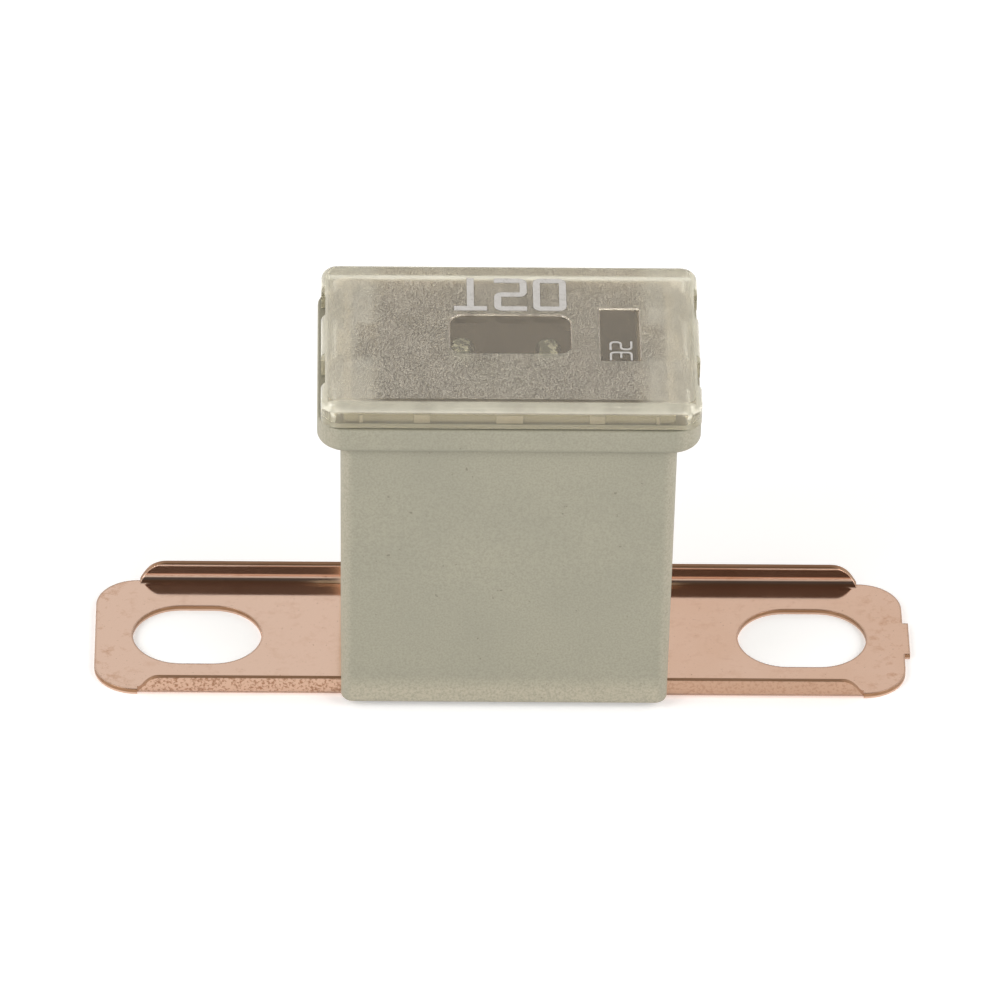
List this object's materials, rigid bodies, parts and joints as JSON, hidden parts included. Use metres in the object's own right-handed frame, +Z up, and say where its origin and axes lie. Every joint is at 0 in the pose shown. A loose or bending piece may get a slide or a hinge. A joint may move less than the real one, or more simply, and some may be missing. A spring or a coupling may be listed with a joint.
{
  "type": "automotive fuse",
  "caption": "Bolt-down slow-blow cartridge fuse: grey moulded body, clear cover with a window, and one copper strip whose slotted legs bolt down left and right.",
  "frame": {"origin": "midway between the two bolt slots, on the underside of the copper legs", "axes": "+X along the legs towards the leg with the carrier stub, +Y across them to the back, +Z up towards the window, out of the bolt slots"},
  "size_m": [0.0544, 0.0166, 0.0249],
  "materials": {
    "body_plastic": "fine moulded texture, warm grey",
    "clear_plastic": "clear, frosted roof with a polished window and patch",
    "copper_strip": "bright rolled copper alloy with light handling marks",
    "tin_alloy": "dull tin"
  },
  "bodies": {
    "root": {"housing": "body_plastic", "cover": "clear_plastic", "fuse_element": "copper_strip", "tin_pellet": "tin_alloy"}
  },
  "joints": []
}
